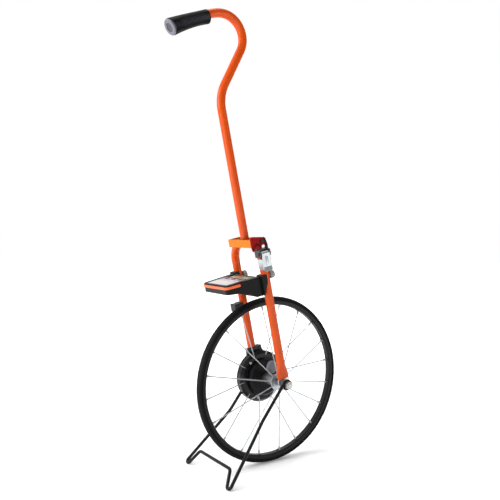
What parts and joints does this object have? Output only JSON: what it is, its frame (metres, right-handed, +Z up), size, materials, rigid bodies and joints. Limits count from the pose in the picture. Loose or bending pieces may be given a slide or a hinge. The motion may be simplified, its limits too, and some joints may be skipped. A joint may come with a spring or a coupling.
{
  "type": "measuring wheel",
  "caption": "Walk-behind measuring wheel: spoked wheel, fork with tilted counter, folding crook handle and fold-down wire stand.",
  "frame": {"origin": "centre of the footprint on the ground, in the wheel's plane, midway between the grip's end and the tyre's front", "axes": "+Z up, +X the way the wheel is pushed, +Y to the user's left along the axle"},
  "size_m": [0.3767, 0.163, 0.8412],
  "materials": {
    "tyre_rubber": "matte, faintly worn tread",
    "rim_black": "semi-gloss black",
    "spoke_steel": "bright drawn wire",
    "hub_alloy": "turned, satin",
    "bearing_steel": "ground",
    "drum_plastic": "moulded, semi-gloss",
    "boss_plastic": "fine moulded grain",
    "cap_grey": "satin grey",
    "magnet_dark": "bonded magnet",
    "steel_zinc": "zinc plated",
    "orange_paint": "semi-gloss orange powder coat",
    "bracket_paint": "semi-gloss orange powder coat",
    "latch_chrome": "polished",
    "catch_steel": "dark oiled steel",
    "black_block": "moulded",
    "board_green": "solder resist",
    "case_black": "fine moulded grain",
    "trim_orange": "soft satin",
    "window_clear": "clear, slightly tinted",
    "lcd_cream": "reflective display",
    "panel_lilac": "printed film",
    "key_purple": "silicone",
    "battery_grey": "printed sleeve",
    "wire_black": "satin black coat",
    "grip_rubber": "fine matte texture",
    "cap_light": "satin light grey",
    "cap_dark": "matte"
  },
  "bodies": {
    "frame": {"axle": "steel_zinc", "axle_nuts": "steel_zinc", "axle_washers": "steel_zinc", "axle_spacers": "hub_alloy", "fork_leg_near": "orange_paint", "fork_leg_far": "orange_paint", "dropout_near": "steel_zinc", "dropout_far": "steel_zinc", "drum_cover": "drum_plastic", "sensor_board": "board_green", "sensor_chip": "black_block", "cover_screws": "steel_zinc", "crown_bracket": "bracket_paint", "handle_bumper": "black_block", "handle_pin": "steel_zinc", "latch_yoke": "black_block", "latch_pin": "steel_zinc", "latch_catch": "catch_steel", "case_lower": "case_black", "case_upper": "case_black", "case_trim": "trim_orange", "battery_cells": "battery_grey", "display_window": "window_clear", "lcd_module": "lcd_cream", "main_board": "board_green", "key_panel": "panel_lilac", "saddle_near": "case_black", "saddle_far": "case_black", "clamp_bolts": "cap_grey", "stand_clip": "black_block"},
    "wheel": {"tyre": "tyre_rubber", "rim": "rim_black", "spokes_near": "spoke_steel", "spokes_far": "spoke_steel", "spoke_nipples": "steel_zinc", "hub_shell": "hub_alloy", "bearing_near": "bearing_steel", "bearing_far": "bearing_steel", "drum_shell": "drum_plastic", "drum_boss": "boss_plastic", "magnet_ring": "magnet_dark", "drum_cap": "cap_grey", "drum_screws": "steel_zinc"},
    "stand": {"stand_wire": "wire_black"},
    "handle": {"handle_tube": "orange_paint", "handle_barrel": "orange_paint", "grip": "grip_rubber", "grip_cap": "cap_light", "grip_cap_insert": "cap_dark"},
    "latch": {"latch_lever": "latch_chrome"},
    "battery_cover": {"battery_door": "case_black"},
    "reset_key": {"button_reset": "key_purple"},
    "hold_key": {"button_hold": "key_purple"},
    "power_key": {"button_power": "key_purple"}
  },
  "joints": [
    {"name": "wheel_spin", "type": "hinge", "parent": "frame", "child": "wheel", "pos_m": [0.0291, 0, 0.15915], "axis": [0, 1, 0], "continuous": true},
    {"name": "stand_fold", "type": "hinge", "parent": "frame", "child": "stand", "pos_m": [0.0291, 0, 0.15915], "axis": [0, 1, 0], "range_deg": [0, 108]},
    {"name": "handle_fold", "type": "hinge", "parent": "frame", "child": "handle", "pos_m": [-0.01608, 0, 0.42558], "axis": [0, 1, 0], "range_deg": [0, 135]},
    {"name": "latch_swing", "type": "hinge", "parent": "frame", "child": "latch", "pos_m": [-0.02288, -0.055, 0.40369], "axis": [-0.9781, 0, -0.2079], "range_deg": [0, 120]},
    {"name": "battery_cover_slide", "type": "slide", "parent": "frame", "child": "battery_cover", "axis": [0, -1, 0], "range_m": [0, 0.04]},
    {"name": "reset_press", "type": "slide", "parent": "frame", "child": "reset_key", "axis": [0.2079, 0, -0.9781], "range_m": [0, 0.0008], "stiffness_N_per_m": 400, "springref_m": -0.0005},
    {"name": "hold_press", "type": "slide", "parent": "frame", "child": "hold_key", "axis": [0.2079, 0, -0.9781], "range_m": [0, 0.0008], "stiffness_N_per_m": 400, "springref_m": -0.0005},
    {"name": "power_press", "type": "slide", "parent": "frame", "child": "power_key", "axis": [0.2079, 0, -0.9781], "range_m": [0, 0.0008], "stiffness_N_per_m": 400, "springref_m": -0.0005}
  ]
}
